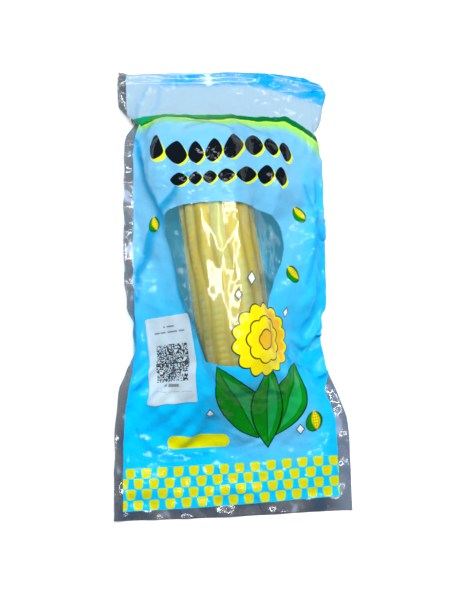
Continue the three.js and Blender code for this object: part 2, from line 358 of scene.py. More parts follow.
# Each crease: its route on the flat film, its height, and how far it reaches to its left and right
FRONT_CREASES = (
    (((9, 250), (21, 208), (28, 195), (35, 165), (43, 140), (47, 122)), 2.8, 7.0, 1.7),
    (((50, 210), (40, 202), (27, 195), (17, 181), (8, 152)), 2.4, 1.7, 6.0),
    (((14, 240), (24, 205), (30, 186), (33, 160)), -1.2, 1.4, 3.0),
    (((130, 225), (136, 207), (136, 186), (131, 157)), 1.5, 4.0, 1.8),
    (((127, 190), (121, 173), (118, 143), (116, 118)), 1.2, 2.0, 4.5),
    (((106, 230), (108, 204), (105, 172), (104, 150)), 1.1, 2.0, 3.0),
    (((113, 112), (124, 102), (140, 95)), 1.3, 2.0, 3.5),
    (((108, 120), (122, 107), (138, 99)), -0.8, 1.8, 2.4),
    (((135, 140), (132, 126), (134, 112)), 1.1, 2.0, 2.0),
    (((44, 196), (46, 178), (43, 160), (47, 138), (54, 118)), 1.7, 1.8, 3.0),
    (((62, 190), (66, 176), (70, 164)), 0.7, 2.0, 2.4),
    (((70, 164), (76, 178), (80, 190)), 0.6, 2.0, 2.0),
    (((34, 50), (46, 38), (76, 36), (96, 28)), -1.0, 3.0, 3.0),
    (((12, 50), (20, 42), (34, 36), (60, 38)), 1.1, 2.2, 5.0),
    (((68, 60), (84, 50), (104, 42)), 1.0, 2.2, 4.5),
    (((64, 33), (70, 22), (88, 13), (99, 5)), 1.0, 1.8, 2.4),
    (((66, 28), (95, 26), (120, 29)), 0.9, 1.8, 2.2),
    (((70, 18), (92, 17), (112, 22)), 0.8, 1.8, 2.2),
    (((131, 38), (134, 22), (137, 5)), 1.2, 1.8, 2.0),
    (((136, 66), (138, 50), (136, 38)), 0.9, 1.8, 2.2),
    (((12, 96), (10, 80), (13, 60)), 1.0, 2.0, 3.0),
)

# Painted shade along folds, a deeper blue where the folded film faces away from the light: the route, how
# far to its left and right, and how deep
PAINTED_FOLD_SHADES = (
    (((7, 252), (13, 232), (20, 212), (27, 197), (33, 178), (37, 158), (42, 136)), 1.2, 6.5, 0.95),
    (((48, 212), (40, 204), (27, 196), (17, 181), (8, 156), (7, 140)), 5.5, 1.0, 0.9),
    (((50, 118), (44, 138), (38, 160)), 4.5, 0.8, 0.7),
    (((129, 226), (137, 207), (137, 186), (131, 157)), 0.8, 2.4, 0.6),
    (((112, 112), (124, 103), (140, 96)), 0.8, 2.4, 0.55),
    (((14, 56), (22, 44), (36, 38), (60, 40)), 0.8, 2.2, 0.5),
    (((66, 30), (72, 20), (90, 11), (99, 5)), 0.8, 1.8, 0.5),
    (((10, 268), (13, 284), (20, 300)), 0.5, 1.3, 0.3),
    (((12, 270), (26, 284), (29, 302)), 0.4, 2.2, 0.22),
)

# The header's creases lie in both films: a dog-ear from the left neck, and lines along the seal
HEADER_CREASES = (
    (((11, 268), (14, 290), (22, 306)), 1.6, 2.0, 5.0),
    (((11, 268), (24, 284), (28, 303)), 1.2, 3.0, 2.0),
    (((13, 270), (34, 286), (36, 306)), -0.9, 2.0, 3.0),
    (((52, 305), (74, 304), (84, 306), (100, 303), (122, 296), (141, 293)), 0.6, 0.8, 1.2),
    (((100, 306), (118, 302), (140, 294)), 0.7, 0.8, 1.0),
    (((38, 309), (41, 304), (39, 299)), 0.7, 1.0, 1.0),
    (((101, 309), (104, 303)), 0.7, 0.8, 0.8),
    (((44, 299), (66, 294), (90, 300)), 0.5, 2.5, 2.5),
    (((104, 276), (106, 262), (107, 250)), -0.7, 2.2, 2.2),
)


def near_route(u, v, route):
    """How far places are from a route, how far to its right, and how far along it from 0 to 1."""
    nearest = np.full(u.shape, np.inf)
    side = np.zeros(u.shape)
    place = np.zeros(u.shape)
    done = 0.0
    for a, b in zip(route, route[1:]):
        length = math.dist(a, b)
        step = (np.array(b, float) - a) / length
        along = np.clip((u - a[0]) * step[0] + (v - a[1]) * step[1], 0, length)
        off_u = u - a[0] - along * step[0]
        off_v = v - a[1] - along * step[1]
        distance = np.hypot(off_u, off_v)
        closer = distance < nearest
        nearest = np.where(closer, distance, nearest)
        side = np.where(closer, off_u * step[1] - off_v * step[0], side)
        place = np.where(closer, done + along, place)
        done += length
    return nearest, side, place / done


def crease(u, v, route, height, left, right):
    """A sharp ridge along a route, or a valley, which fades out at both ends."""
    distance, side, share = near_route(u, v, route)
    fade = plateau(share, 0, 0.15, 0.85, 1)
    return height * fade * np.exp(-np.hypot(distance, CREASE_ROUND) / np.where(side > 0, right, left))


def fold_shade(u, v):
    """Painted shade along folds, a deeper blue where the film faces away from the light: 1 inside them
    and 0 elsewhere.
    """
    deep = np.zeros(u.shape)
    for route, left, right, share in PAINTED_FOLD_SHADES:
        distance, side, along = near_route(u, v, route)
        width = np.where(side > 0, right, left) * (0.35 + 0.65 * np.sin(math.pi * along))
        deep = np.maximum(deep, share * (1 - smooth(distance, 0.3 * width, width + 1.6)))
    return deep


def crumpled(u, v, count, short, long, slope, seed):
    """Flat facets of crumpled film: triangle waves that cross at many angles."""
    rng = np.random.default_rng(seed)
    height = np.zeros(u.shape)
    for angle in rng.permutation(count) * math.pi / count + rng.uniform(0, 0.5):
        length = rng.uniform(short, long)
        place = (u * math.cos(angle) + v * math.sin(angle)) / length + rng.uniform(0, 1)
        height += slope * length * (np.abs(place % 1 - 0.5) - 0.25)
    return height


def crumples(u, v):
    """Heights of both films' shared crumples and of the front's own, in millimetres."""
    bent_u = u + 4 * np.sin(v / 15 + 0.6) + 1.5 * np.sin(v / 5.3)
    bent_v = v + 4 * np.sin(u / 13) + 1.5 * np.sin(u / 4.1 + v / 17)
    loose = plateau(u, 4, 16, 134, 146) * plateau(v, 8, 20, 255, 285)
    over_cob = hump(u - 64, 27) * plateau(v, 80, 120, 236, 264)
    front = loose * (1 - 0.8 * over_cob) * crumpled(bent_u, bent_v, 5, 26, 60, 0.075, 11)
    front += loose * (1 - 0.85 * over_cob) * crumpled(bent_u, bent_v * 0.8, 4, 9, 17, 0.05, 12)
    shoulders = plateau(v, 190, 222, 250, 278)
    front += shoulders * (8 * hump(u - 29, 14) + 9 * hump(u - 108, 17))
    across_cob = u - 62 + (v - 155) * 0.13 + 1.5 * np.sin(v / 19)
    front += ROW_HEIGHT * over_cob * np.cos(2 * math.pi * across_cob / ROW_PITCH)
    for route, height, left, right in FRONT_CREASES:
        front += crease(u, v, route, height, left, right)
    both = smooth(v, 274, 290) * crumpled(bent_u, bent_v, 4, 14, 34, 0.05, 13)
    for route, height, left, right in HEADER_CREASES:
        both += crease(u, v, route, height, left, right)
    strips = np.maximum(1 - smooth(u, 5, 11), np.maximum(smooth(u, 139, 145), 1 - smooth(v, 7, 13)))
    both += strips * crumpled(bent_u, bent_v, 5, 8, 22, 0.11, 14)
    return both, front


def corner_cut(u, v):
    """How far the header's right corner is pulled in, which rounds it."""
    return CORNER_PULL * np.maximum(0, CORNER - (WIDTH - u) - (LENGTH - v)) ** 2 / CORNER**2


def ironed(u, v, films):
    """Both films with the buckles smoothed out, between the two necks and at the lower right."""
    flat = plateau(u, 6, 30, 126, 146) * plateau(v, 205, 238, 288, 304)
    flat = np.maximum(flat, hump(u - 126, 12) * hump(v - 66, 22) * (1 - smooth(u, 138, 146)))
    share = 0.5 * flat[1:-1, 1:-1, None]
    for step in range(IRON_ROUNDS):
        beside = films[:, 1:-1, 2:] + films[:, 1:-1, :-2] + films[:, 2:, 1:-1] + films[:, :-2, 1:-1]
        films[:, 1:-1, 1:-1] += share * (0.25 * beside - films[:, 1:-1, 1:-1])
        if step % 10 == 0:
            clear_cob(films[0], gap=IRON_GAP)
    return films


def shaped_film():
    """The front and the back after settling, crumpled, thickened and laid in the pouch's CAD box."""
    film = settled_film()
    u, v = film.u, film.v
    front, back = ironed(u, v, film.points.astype(float))
    both, own = crumples(u, v)
    apart = smooth(np.linalg.norm(front - back, axis=-1), 0.5, 7)
    both += (1 - apart) * own
    own = apart * own
    normals = grid_normals(front)
    front += normals * (both + own)[..., None]
    back += normals * both[..., None]
    pulled = corner_cut(u, v)[..., None] * (-1, -1, 0)
    front += pulled
    back += pulled
    clear_cob(front, gap=FINAL_GAP)
    np.maximum(back[..., 2], 0, out=back[..., 2])
    inside = plateau(u, 7, 13, 137, 143) * plateau(v, 11, 17, 262, 272)
    np.maximum(front[..., 2], back[..., 2] + SEALED + INSIDE_GAP * inside, out=front[..., 2])
    middle = 0.5 * (front + back)
    normals = grid_normals(middle)
    apart = np.linalg.norm(front - back, axis=-1)
    close = (apart < SEALED)[..., None]
    front = np.where(close, middle + normals * SEALED / 2, front)
    back = np.where(close, middle - normals * SEALED / 2, back)
    everything = np.concatenate([front.reshape(-1, 3), back.reshape(-1, 3)])
    low, high = everything.min(0), everything.max(0)
    shift = 0.5 * (pouch_low + pouch_high - low - high)
    shift[2] = -low[2]
    return u, v, front + shift, back + shift, shift


# Making meshes


def put_in_scene(name, data):
    thing = bpy.data.objects.new(name, data)
    bpy.context.scene.collection.objects.link(thing)
    return thing


def new_piece(name, points, faces, materials, face_materials=None):
    mesh = bpy.data.meshes.new(name)
    mesh.from_pydata((np.asarray(points).reshape(-1, 3) * MM).tolist(), [], faces.tolist())
    for material in materials:
        mesh.materials.append(material)
    mesh.polygons.foreach_set("use_smooth", np.ones(len(faces), bool))
    if face_materials is not None:
        mesh.polygons.foreach_set("material_index", face_materials)
    mesh.update()
    return put_in_scene(name, mesh)


def put_map(mesh, name, across, along, beside=0.0):
    """A UV map for a closed sheet's two grids, with the second one's laid beside the first one's."""
    first = np.stack([across, along], -1).reshape(-1, 2)
    places = np.concatenate([first, first + (beside, 0)])
    corners = np.zeros(len(mesh.loops), int)
    mesh.loops.foreach_get("vertex_index", corners)
    layer = mesh.uv_layers.new(name=name)
    layer.data.foreach_set("uv", places[corners].astype(np.float32).ravel())


def put_values(mesh, name, values):
    attribute = mesh.attributes.new(name, "FLOAT", "POINT")
    attribute.data.foreach_set("value", values.astype(np.float32).ravel())


def closed_faces(rows, columns):
    """Faces of a thin closed sheet: its top grid, its under grid and its rim, and which is which."""
    grid = np.arange(rows * columns).reshape(rows, columns)
    top = np.stack([grid[:-1, :-1], grid[:-1, 1:], grid[1:, 1:], grid[1:, :-1]], -1).reshape(-1, 4)
    under = top[:, ::-1] + grid.size
    ring = np.concatenate([grid[0], grid[1:, -1], grid[-1, -2::-1], grid[-2:0:-1, 0]])
    after = np.roll(ring, -1)
    rim = np.stack([ring + grid.size, after + grid.size, after, ring], 1)
    kinds = np.repeat([0, 1, 1], [len(top), len(under), len(rim)])
    return np.concatenate([top, under, rim]), kinds


# Materials by nodes


def set_input(node, place, value):
    """Sets an input of a node to a value, or links it to another node's output."""
    if isinstance(value, Number):
        value = value.socket
    if isinstance(value, bpy.types.NodeSocket):
        node.id_data.links.new(value, node.inputs[place])
    else:
        node.inputs[place].default_value = value


def set_inputs(node, **values):
    """Sets a node's inputs, named as they are, with _ for each space."""
    for name, value in values.items():
        set_input(node, name.replace("_", " "), value)
    return node


class Number:
    """A number worked out by Math nodes, used like an ordinary number."""

    def __init__(self, socket):
        self.socket = socket
        self.nodes = socket.id_data.nodes

    def of(self, operation, *others, clamp=False):
        node = self.nodes.new("ShaderNodeMath")
        node.operation = operation
        node.use_clamp = clamp
        for place, value in enumerate((self, *others)):
            set_input(node, place, value)
        return Number(node.outputs[0])

    def __add__(self, other):
        return self.of("ADD", other)

    def __sub__(self, other):
        return self.of("SUBTRACT", other)

    def __mul__(self, other):
        return self.of("MULTIPLY", other)

    __radd__ = __add__
    __rmul__ = __mul__

    def __rsub__(self, other):
        return self.of("MULTIPLY", -1).of("ADD", other)

    def size(self):
        return self.of("ABSOLUTE")

    def most(self, other):
        return self.of("MAXIMUM", other)

    def least(self, other):
        return self.of("MINIMUM", other)

    def round_most(self, other, corner):
        return self.of("SMOOTH_MAX", other, corner)

    def within(self, soft=0.3):
        """1 where a distance is below 0, and 0 outside, with an edge of that softness."""
        return self.of("MULTIPLY_ADD", -1 / soft, 0.5, clamp=True)

    def ramp(self, low, high):
        node = self.nodes.new("ShaderNodeMapRange")
        node.interpolation_type = "SMOOTHSTEP"
        return Number(set_inputs(node, Value=self, From_Min=low, From_Max=high).outputs[0])


class Shade:
    """One material and the nodes that make it."""

    def __init__(self, name):
        self.material = bpy.data.materials.new(name)
        self.material.use_nodes = True
        self.nodes = self.material.node_tree.nodes
        self.body = self.nodes["Principled BSDF"]

    def new(self, kind, **inputs):
        """The first output of a new node."""
        return set_inputs(self.nodes.new("ShaderNode" + kind), **inputs).outputs[0]

    def place(self, layer):
        """The two numbers of a UV map, in millimetres."""
        node = self.nodes.new("ShaderNodeUVMap")
        node.uv_map = layer
        split = self.nodes.new("ShaderNodeSeparateXYZ")
        set_input(split, 0, node.outputs[0])
        return Number(split.outputs[0]) * (1 / MM), Number(split.outputs[1]) * (1 / MM)

    def value(self, name):
        node = self.nodes.new("ShaderNodeAttribute")
        node.attribute_name = name
        return Number(node.outputs["Fac"])

    def noise(self, x, y, detail=2.0):
        vector = self.new("CombineXYZ", X=x, Y=y)
        return Number(self.new("TexNoise", Vector=vector, Scale=1.0, Detail=detail))

    def speckle(self, scale, detail):
        return Number(self.new("TexNoise", Scale=scale, Detail=detail))

    def random(self, x, y):
        node = self.nodes.new("ShaderNodeTexWhiteNoise")
        node.noise_dimensions = "2D"
        return Number(set_inputs(node, Vector=self.new("CombineXYZ", X=x, Y=y)).outputs[0])

    def mix(self, below, above, share):
        """A colour laid over another where share is 1."""
        node = self.nodes.new("ShaderNodeMix")
        node.data_type = "RGBA"
        for place, value in ((0, share), (6, below), (7, above)):
            set_input(node, place, value)
        return node.outputs[2]

    def layers(self, colour, *above):
        """A colour with others laid over it in turn, each with its share."""
        for over, share in above:
            colour = self.mix(colour, over, share)
        return colour

    def bump(self, height, distance, **below):
        return self.new("Bump", Height=height, Distance=distance, **below)

    def blend(self, first, second, share):
        node = self.nodes.new("ShaderNodeMixShader")
        for place, value in enumerate((share, first, second)):
            set_input(node, place, value)
        return node.outputs[0]


# The print's colours
# SKY_HIGH and SKY_MIDDLE are laid over the ink's own blue, SKY_LOW, as painted sheen.
SKY_HIGH, SKY_MIDDLE, SKY_LOW = srgb(110, 184, 226), srgb(68, 186, 236), srgb(0, 189, 252)
# HEADER_PALE is partly the header's paler print and partly painted sheen.
HEADER_PALE, SEAL_PALE, SEAL_BLUE = srgb(153, 183, 203), srgb(100, 166, 214), srgb(0, 156, 236)
# The deeper blue of the painted shade along folds.
FOLD_SHADE_BLUE = srgb(0, 148, 204)
BAND_DARK, BAND_GREEN = srgb(0, 104, 56), srgb(14, 144, 46)
LIME_EDGE, LIME = srgb(196, 228, 48), srgb(148, 214, 98)
INK, SHADOW_LIME = srgb(10, 18, 26), srgb(212, 228, 44)
YELLOW, PILL_YELLOW, ORANGE = srgb(238, 222, 6), srgb(216, 216, 0), srgb(236, 184, 8)
TILE_YELLOW, TILE_RIM, TILE_EDGE = srgb(214, 200, 8), srgb(186, 216, 40), srgb(60, 190, 190)
LEAF, LEAF_LIGHT, LEAF_DARK = srgb(4, 138, 22), srgb(24, 168, 84), srgb(18, 92, 30)
WHITE = srgb(240, 246, 250)
# The faint teal glow of the back film's inner side is painted light.
BACK_BLUE, INSIDE_GLOW_TEAL = srgb(56, 192, 226), srgb(40, 178, 206)
CLEAR_NAVY, CLEAR_GREY, CLEAR_PALE = srgb(34, 62, 92), srgb(78, 84, 94), srgb(150, 172, 204)

# Where the print lies on the flat film
INK_LEFT, INK_RIGHT, INK_BOTTOM = 6.0, 142.5, 6.8
PAST_EDGE = 10.0
PULLED_U, PULLED_V, PULLED_BY = 58.0, 226.0, 25.0
BAND_V, SEAL_V = 277.0, 301.0
WINDOW_TOP, WINDOW_FOOT, WINDOW_WIDE = 200.0, 104.0, 182.0
WINDOW_LEFT, WINDOW_RIGHT, WINDOW_ROUND = 28.0, 116.0, 26.0
TITLE_ROWS = ((22.0, 12.4, 8, 247.0, 7.6), (35.0, 11.3, 7, 224.5, 7.0))
CHECK_PITCH, CHECK_ROW, CHECK_FOOT, CHECK_ROWS = 9.9, 6.5, 7.05, 4
CHECK_LEFT, CHECK_KERNEL = 11.0, (2.85, 3.15, 1.7)
ICONS = ((21, 188, -0.2, 1.1), (126, 203, 0.5, 1.2), (121, 161, 0.5, 1.2), (129, 58, -0.3, 1.6))
DIAMONDS = ((88, 153, 1.9), (80, 143, 1.3), (118, 136, 1.5), (62, 69, 1.7), (120, 53, 1.8))
DIAMOND_EDGE = 0.55
PILL = (54.0, 48.0, 20.2, 4.2)
ROSETTE = (98.0, 118.0, 21.5, 14)
ROSETTE_LEAVES = ((81, 76, 0.42, 12.5, 29), (115, 76, -0.38, 11.5, 28), (99, 72, 0.0, 10.0, 30))


def print_rows(u, v):
    """How far along the print is at a place: it was pulled towards the header over the cob's end."""
    pulled = lopsided(v - PULLED_V, 24.0, 35.5) * lopsided(u - PULLED_U, 36.0, 28.0)
    sloping = 0.025 * (u - 60) * (1 - smooth(v, 25, 70))
    return v + PULLED_BY * pulled - sloping


def rounded_block(x, y, half_x, half_y, corner):
    """How far outside a block with round corners a place is."""
    across = (x.size() - (half_x - corner)).most(0)
    along = (y.size() - (half_y - corner)).most(0)
    return (across * across + along * along).of("SQRT") - corner


def title_mark(u, v, title, shift):
    """A row of full, dark lozenges, in place of lettering."""
    first, pitch, count, middle, tall = title
    u = u + ((u - 74).size().ramp(20, 0) - (u - 44).size().ramp(20, 0)) * 3.6
    at = (u - first - shift) * (1 / pitch)
    x = (at - at.of("FLOOR") - 0.5) * 2.1
    y = (v - middle + shift) * (1 / tall)
    mark = (x.size().of("POWER", 1.5) + y.size().of("POWER", 1.5) - 1) * (pitch * 0.36)
    ends = (u - first - shift - pitch * count / 2).size() - pitch * count / 2
    return mark.most(ends)


def checker(u, v):
    """Rows of small kernels, every other row moved by half a step."""
    row = ((v - CHECK_FOOT) * (1 / CHECK_ROW)).of("FLOOR")
    y = v - CHECK_FOOT - row * CHECK_ROW - CHECK_ROW / 2
    odd = row.of("MODULO", 2)
    x = (u - CHECK_LEFT + odd * (CHECK_PITCH / 2)).of("FLOORED_MODULO", CHECK_PITCH) - CHECK_PITCH / 2
    uneven = (row * 2.3 + u * 0.09).of("SINE") * 0.3
    mark = rounded_block(x * (1 - y * 0.05) + uneven, y + uneven, *CHECK_KERNEL)
    outside = (v - CHECK_FOOT - CHECK_ROW * CHECK_ROWS / 2).size() - CHECK_ROW * CHECK_ROWS / 2
    return mark.most(outside)


def leaf(x, y, half_wide, half_long):
    """How far outside a leaf with two pointed ends a place is."""
    along = y * (1 / half_long)
    return x.size() - (1 - along * along) * half_wide


def petals(x, y, outer, count):
    """How far outside a round head with a scalloped edge a place is."""
    petal = (y.of("ARCTAN2", x) * (count / 2)).of("SINE").size()
    return (x * x + y * y).of("SQRT") - petal * (0.13 * outer) - outer * 0.87


def rosette(shade, colour, u, v):
    """A generic ornament: a round head of kernels over three broad leaves."""
    for across, along, angle, *half in ROSETTE_LEAVES:
        x, y = turned(u - across, v - along, angle)
        shape = leaf(x, y, *half)
        colour = shade.layers(
            colour,
            (INK, (shape - 0.9).within()),
            (LEAF, shape.within()),
            (LEAF_LIGHT, (shape + 3.2).most(x * -1 + 0.7).within()),
            (LEAF_DARK, (x.size() - 0.35).most(shape + 2.0).within()),
        )
    x, y = u - ROSETTE[0], v - ROSETTE[1]
    for outer, count, fill in ((*ROSETTE[2:], YELLOW), (13.5, 9, YELLOW), (5.6, 5, ORANGE)):
        edge = petals(x, y, outer, count)
        shadow = (edge + 2.2).most(0.35 * outer - x - y * 0.4).within(2.0)
        outline = (edge - 0.8).within()
        colour = shade.layers(colour, (INK, outline), (fill, edge.within()), (ORANGE, shadow))
    return colour


def husk_icon(shade, colour, u, v, at):
    """A small green oval with a yellow stripe."""
    across, along, angle, size = at
    x, y = turned((u - across) * (1 / size), (v - along) * (1 / size), angle)
    oval = (x * x * (1 / 3.4**2) + y * y * (1 / 4.8**2)).of("SQRT") * 3.6 - 3.6
    inner, along = turned(x - 0.5, y - 0.8, 0.35)
    grain = leaf(inner, along, 1.7, 4.6)
    lines = (inner * 3.4).of("SINE").size().least((along * 2.4).of("SINE").size())
    return shade.layers(
        colour,
        (LEAF_DARK, oval.within()),
        (LEAF, (oval + 0.6).within()),
        (ORANGE, grain.within()),
        (YELLOW, (grain + 0.45).within()),
        (LEAF_DARK, lines.ramp(0.34, 0.16) * (grain + 0.3).within() * 0.7),
    )


def window_edge(u, v):
    """How far outside the clear window a place is: round shoulders, and sides that taper down."""
    down = (WINDOW_WIDE - v).most(0).of("POWER", 1.3)
    left = down * 0.1076 + WINDOW_LEFT - u
    right = u - (WINDOW_RIGHT - down * 0.094)
    shape = left.most(right).round_most(v - WINDOW_TOP, WINDOW_ROUND)
    return shape.most(WINDOW_FOOT - v)


def edge_strips(u, v, wobble):
    """How far inside the clear strips along the pouch's edges a place is."""
    right = v.ramp(75, 95) * PAST_EDGE + INK_RIGHT - u
    return (u - INK_LEFT).least(right).least(v - INK_BOTTOM) + wobble


def diamond(x, y, size):
    return x.size() * 0.8 + y.size() * 0.55 - size


def front_print(shade, u, v, wobble):
    """The front's ink, as one colour."""
    # A pale patch low on the right, painted reflection.
    painted_sheen = (u - 104).size().ramp(48, 8) * (v - 60).size().ramp(40, 6)
    band_top = v - (BAND_V + u.ramp(90, 118) * 3.0 - (u - 118).most(0) * 0.53) + wobble * 3
    band_low = band_top + 4.2 + (1 - u.ramp(2, 46)) * 4.5
    streak = shade.noise(u * 0.03, v * 0.25, 4.0)
    darker = (streak * 6 + u * 0.03 - band_low).ramp(1.0, 3.5)
    seal = v - SEAL_V + (u - 98).most(0) * 0.24 + wobble * 5
    patches = shade.noise(u * 0.045, v * 0.11, 3.0) + u * 0.0016
    # Thin white lines along the top seal are painted glints.
    painted_glint_lines = (shade.noise(u * 0.024 + 4.0, v * 0.16, 0.0) - 0.5).size()
    tiles = checker(u, v)
    pill = rounded_block(u - PILL[0], v - PILL[1], PILL[2], PILL[3], PILL[3])
    colour = shade.layers(
        SKY_LOW,
        # Painted sheen: the sky is paler towards the top and in the pale patch. Along the steep right
        # edge the painted sheen is taken off again.
        (SKY_MIDDLE, (painted_sheen * 0.9 + v.ramp(70, 180)).least(1)),
        (SKY_HIGH, (v - (u - 60) * 0.25).ramp(120, 215) + painted_sheen * 0.6),
        (SKY_LOW, u.ramp(122, 139) * v.ramp(252, 225) * 0.8),
        (LIME, band_low.ramp(-11, -2)),
        (LIME_EDGE, (band_low.size() - 0.8).within(1.2)),
        (BAND_GREEN, band_low.ramp(-0.2, 0.4)),
        (BAND_DARK, darker * band_low.ramp(0.2, 0.8)),
        # The pale header: partly its paler print, partly painted sheen.
        (HEADER_PALE, band_top.ramp(-0.2, 0.3)),
        (SEAL_PALE, seal.ramp(-2.5, 1.5) * u.ramp(14, 40)),
        (SEAL_BLUE, seal.ramp(-1.0, 1.2) * u.ramp(20, 52) * patches.ramp(0.52, 0.72)),
        # Painted glints: white lines in the top seal.
        (WHITE, painted_glint_lines.ramp(0.018, 0.004) * seal.ramp(-1.0, 2.0) * 0.6),
        # Painted shade: a deeper blue along the folds.
        (FOLD_SHADE_BLUE, shade.value("fold").least(1)),
        *((SHADOW_LIME, title_mark(u, v, title, 1.3).within()) for title in TITLE_ROWS),
        *((INK, title_mark(u, v, title, 0.0).within()) for title in TITLE_ROWS),
        (TILE_EDGE, (tiles - 0.35).within(0.4)),
        (TILE_RIM, tiles.within(0.4)),
        (TILE_YELLOW, (tiles + 0.9).within(1.0)),
        (PILL_YELLOW, pill.within()),
    )
    for icon in ICONS:
        colour = husk_icon(shade, colour, u, v, icon)
    colour = rosette(shade, colour, u, v)
    for across, along, size in DIAMONDS:
        mark = diamond(u - across, v - along, size)
        colour = shade.layers(colour, (INK, (mark - DIAMOND_EDGE).within()), (WHITE, mark.within()))
    return colour


def rosette_cover(u, v):
    """How far outside the ornament and the marks over the window a place is."""
    head = petals(u - ROSETTE[0], v - ROSETTE[1], *ROSETTE[2:]) - 0.8
    for across, along, size in DIAMONDS[:2]:
        head = head.least(diamond(u - across, v - along, size) - DIAMOND_EDGE)
    across, along, angle, *half = ROSETTE_LEAVES[0]
    return head.least(leaf(*turned(u - across, v - along, angle), *half) - 0.8)


def clear_film(shade, normal):
    """Clear film: mostly see-through, with gloss that grows towards its edges and a little haze."""
    through = shade.new("BsdfTransparent", Color=(0.93, 0.96, 0.97, 1.0))
    gloss = shade.new("BsdfGlossy", Roughness=0.1, Normal=normal)
    haze = shade.new("BsdfDiffuse", Color=srgb(214, 232, 236))
    fresnel = shade.new("Fresnel", IOR=1.5, Normal=normal)
    return shade.blend(shade.blend(through, haze, 0.03), gloss, fresnel)


def film_bump(shade, u, v):
    """Fine crinkles in the film, too small for its mesh: small flat facets and a soft unevenness."""
    drift = shade.noise(u * 0.05, v * 0.05, 1.0) * 9.0
    facets = 0.0
    for angle, length, start in ((0.3, 5.1, 0.2), (1.2, 4.0, 0.7), (2.0, 6.3, 0.4), (2.8, 4.7, 0.1)):
        place = (u * math.cos(angle) + v * math.sin(angle) + drift) * (1 / length) + start
        facets = place.of("PINGPONG", 1.0) * (length / 5) + facets
    soft = shade.noise(u * 0.2, v * 0.12, 2.0)
    return shade.bump(soft, 0.0005, Normal=shade.bump(facets, 0.00016))


def ink_body(shade, colour, normal):
    """Glossy printed film, which lets a little light through."""
    body = set_inputs(shade.body, Base_Color=colour, Roughness=0.4, Specular_IOR_Level=0.0)
    set_inputs(body, Coat_Weight=0.75, Coat_Roughness=0.05, Coat_IOR=1.34)
    set_inputs(body, Normal=normal, Coat_Normal=normal)
    return shade.blend(body.outputs[0], shade.new("BsdfTranslucent", Color=colour), 0.18)


def strip_body(shade, u, v, normal):
    """The clear strips along the edges, which look smoky and uneven, with a hard gloss."""
    patch = shade.noise(u * 0.05, v * 0.045, 3.0)
    paler = patch.ramp(0.56, 0.68) + u.ramp(132, 146) * 0.35
    colour = shade.layers(CLEAR_NAVY, (CLEAR_GREY, patch.ramp(0.36, 0.56)), (CLEAR_PALE, paler))
    dark = shade.new("BsdfPrincipled", Base_Color=colour, Normal=normal, Roughness=0.12)
    set_inputs(dark.node, Coat_Weight=1.0, Coat_Roughness=0.05)
    return shade.blend(shade.new("BsdfTransparent"), dark, 0.62)


def film_shade(name):
    """A film's material, its flat places, a slow wobble of them and its crinkled normal."""
    shade = Shade(name)
    u, v = shade.place("Print")
    wobble = shade.noise(u * 0.12, v * 0.12) - 0.5
    return shade, u, v, wobble, film_bump(shade, u, v)


def with_strips(shade, u, v, wobble, normal, printed):
    """The finished material, with the clear strips round the printed film."""
    strips = edge_strips(u, v, wobble * 0.8)
    whole = shade.blend(strip_body(shade, u, v, normal), printed, (strips * -1).within(0.4))
    set_inputs(shade.nodes["Material Output"], Surface=whole)
    return shade.material


def front_material():
    shade, u, v, wobble, normal = film_shade("printed_front")
    ink = ink_body(shade, front_print(shade, u, v, wobble), normal)
    window = window_edge(u, v).most(rosette_cover(u, v) * -1)
    streaks = shade.noise(u * 0.18, v * 0.015, 1.0)
    printed = shade.blend(ink, clear_film(shade, shade.bump(streaks, 0.0007)), window.within(0.4))
    return with_strips(shade, u, v, wobble, normal, printed)


def back_material():
    """The back, plain blue with the front's bands and kernels; its inner side glows a faint teal as
    painted light. It isn't seen in the photograph.
    """
    shade, u, v, wobble, normal = film_shade("printed_back")
    band = v - BAND_V + wobble * 3
    colour = shade.layers(
        BACK_BLUE,
        (LIME, band.ramp(-15, -6)),
        (BAND_GREEN, band.ramp(-5.2, -4.6)),
        (HEADER_PALE, band.ramp(-0.2, 0.3)),
        (SEAL_BLUE, (v - SEAL_V).ramp(-1.5, 0.7)),
        (YELLOW, checker(u, v).within(0.4)),
    )
    ink = ink_body(shade, colour, normal)
    # Painted light: the back's inner side glows a faint teal for the light that comes in through the
    # film.
    inside = shade.nodes.new("ShaderNodeNewGeometry").outputs["Backfacing"]
    set_inputs(shade.body, Emission_Color=INSIDE_GLOW_TEAL, Emission_Strength=Number(inside) * 0.3)
    return with_strips(shade, u, v, wobble, normal, ink)


# The pieces


def make_pouch():
    u, v, front, back, shift = shaped_film()
    faces, kinds = closed_faces(*u.shape)
    points = np.stack([front, back])
    piece = new_piece("film_pouch", points, faces, [front_material(), back_material()], kinds)
    put_map(piece.data, "Print", u * MM, print_rows(u, v) * MM)
    put_map(piece.data, "OFBake", u / WIDTH * 0.49, v / LENGTH, beside=0.51)
    # Painted shade along the folds, kept on the film's points for the print to use.
    deep = fold_shade(u, v)
    put_values(piece.data, "fold", np.stack([deep, np.zeros_like(deep)]))
    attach(piece, "root")
    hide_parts("pouch")
    return front, shift


KERNEL_STEPS, KERNEL_PITCH, KERNEL_HEIGHT = 12, 4.3, 2.0
COB_RINGS = 330


